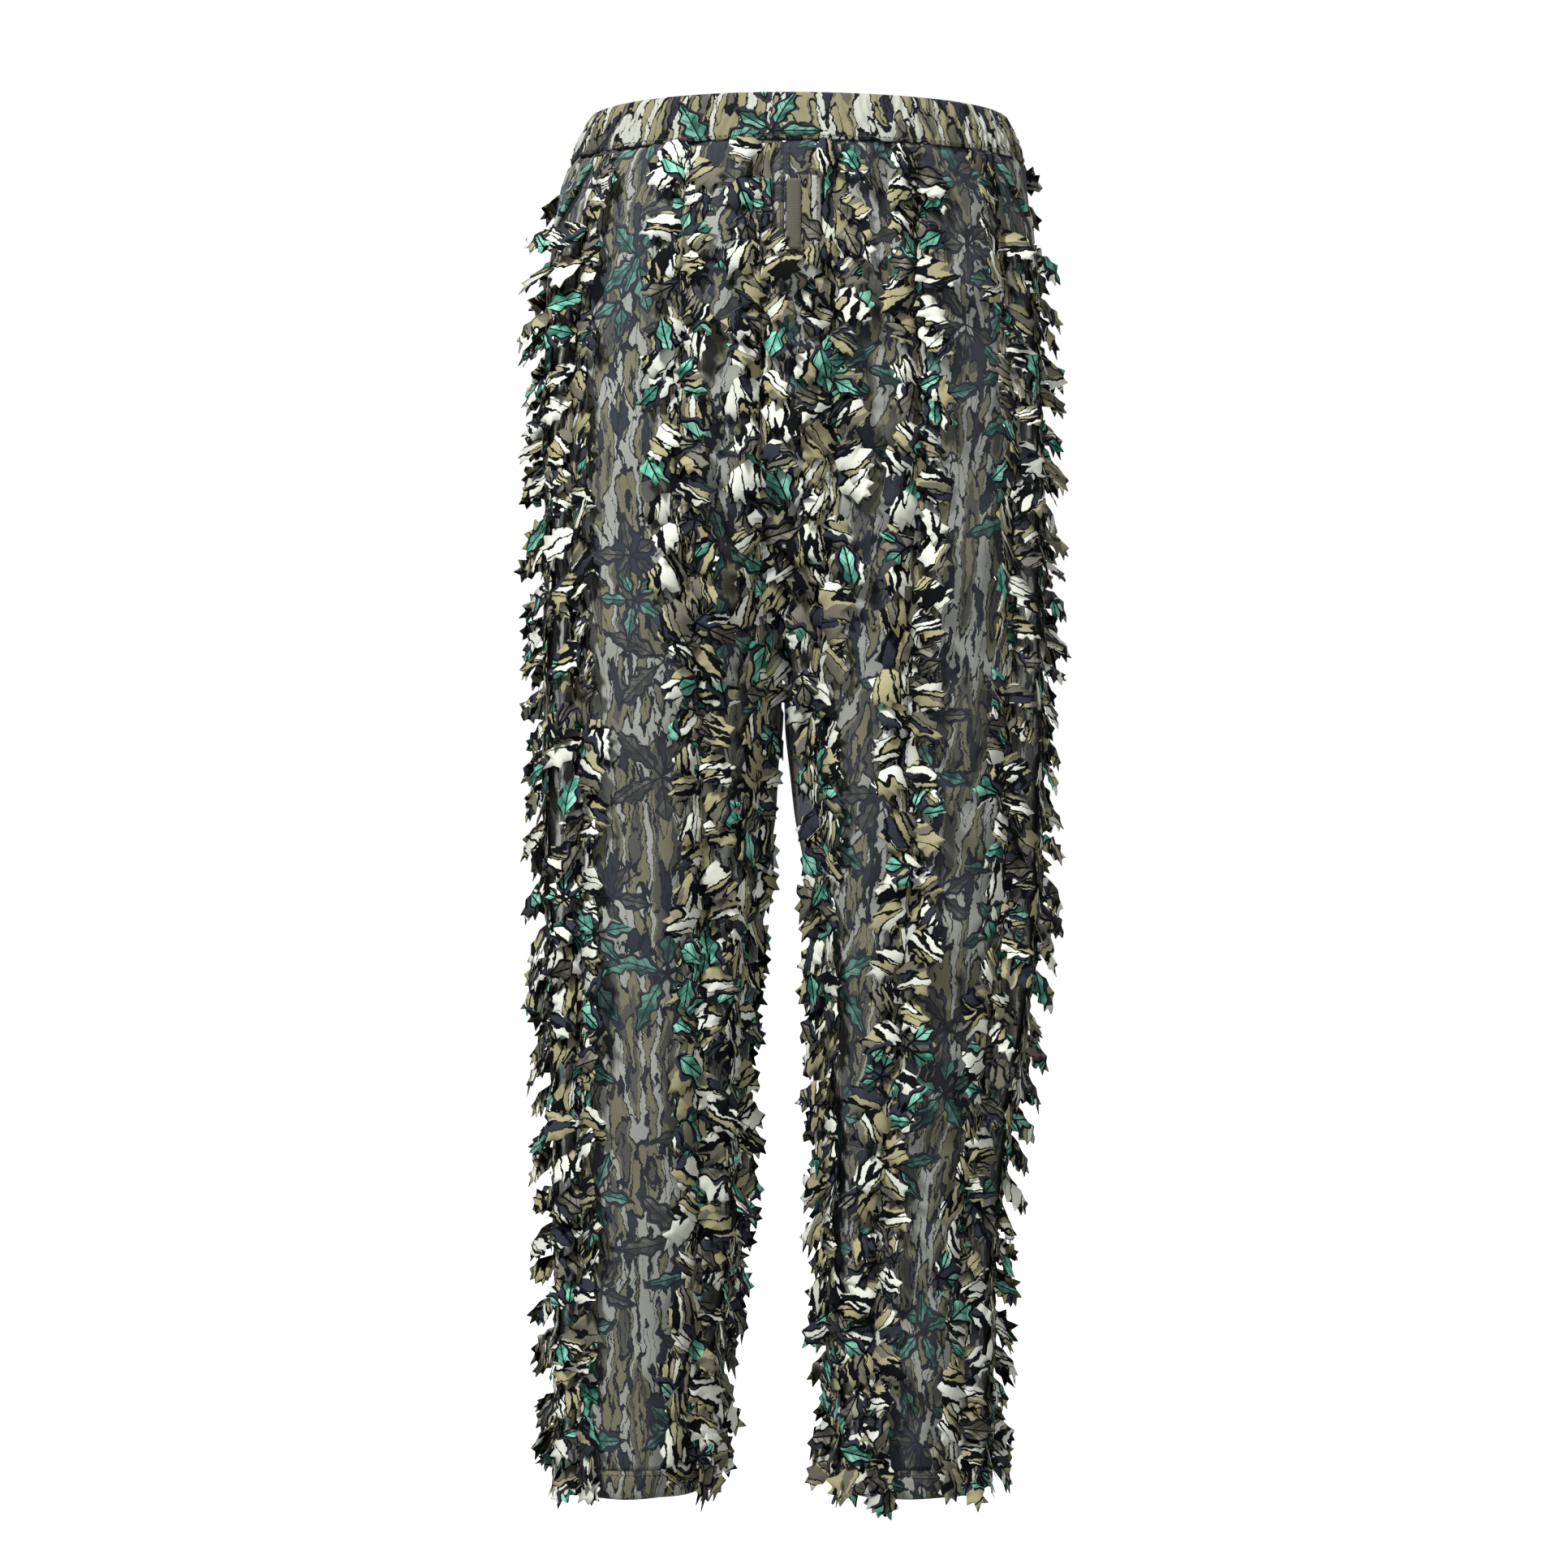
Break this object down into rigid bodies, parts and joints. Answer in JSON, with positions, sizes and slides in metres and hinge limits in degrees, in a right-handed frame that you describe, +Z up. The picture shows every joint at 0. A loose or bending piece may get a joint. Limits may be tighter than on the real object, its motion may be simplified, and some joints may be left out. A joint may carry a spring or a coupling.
{
  "type": "leafy camouflage trousers",
  "caption": "Pull-on camouflage trousers in thin print cloth with an elastic waistband, a fly, slash pockets and long strips of cut cloth leaves sewn down the legs.",
  "frame": {"origin": "middle of the whole garment on the ground plane that both hems stand on", "axes": "+Z up from the hems to the waistband, -Y towards the wearer's front, +X towards the wearer's left"},
  "size_m": [0.413, 0.2818, 1.07],
  "materials": {
    "sheer_print_cloth": "thin semi-sheer warp-knit polyester printed with bark and oak leaves, matt with a faint sheen",
    "solid_print_cloth": "close-woven polyester in the same print, matt, shirred where the elastic gathers it",
    "leaf_cloth": "crisp printed cloth cut into leaves with sharp raw edges, matt",
    "elastic_web": "woven ribbed elastic, off-white",
    "label_tape": "smooth blank satin tape"
  },
  "bodies": {
    "root": {"front_panel_right": "sheer_print_cloth", "back_panel_right": "sheer_print_cloth", "pocket_welt_right": "solid_print_cloth", "front_panel_left": "sheer_print_cloth", "back_panel_left": "sheer_print_cloth", "pocket_welt_left": "solid_print_cloth", "fly_placket": "solid_print_cloth", "fly_underlap": "solid_print_cloth", "waistband_casing": "solid_print_cloth", "waist_elastic": "elastic_web", "hem_band_right": "solid_print_cloth", "hem_band_left": "solid_print_cloth", "size_label": "label_tape", "leaf_strip_inner_front_right": "leaf_cloth", "leaf_strip_front_right": "leaf_cloth", "leaf_strip_outer_front_right": "leaf_cloth", "leaf_strip_side_front_right": "leaf_cloth", "leaf_strip_side_back_right": "leaf_cloth", "leaf_strip_outer_back_right": "leaf_cloth", "leaf_strip_back_right": "leaf_cloth", "leaf_strip_inner_back_right": "leaf_cloth", "leaf_strip_inner_front_left": "leaf_cloth", "leaf_strip_front_left": "leaf_cloth", "leaf_strip_outer_front_left": "leaf_cloth", "leaf_strip_side_front_left": "leaf_cloth", "leaf_strip_side_back_left": "leaf_cloth", "leaf_strip_outer_back_left": "leaf_cloth", "leaf_strip_back_left": "leaf_cloth", "leaf_strip_inner_back_left": "leaf_cloth"}
  },
  "joints": []
}
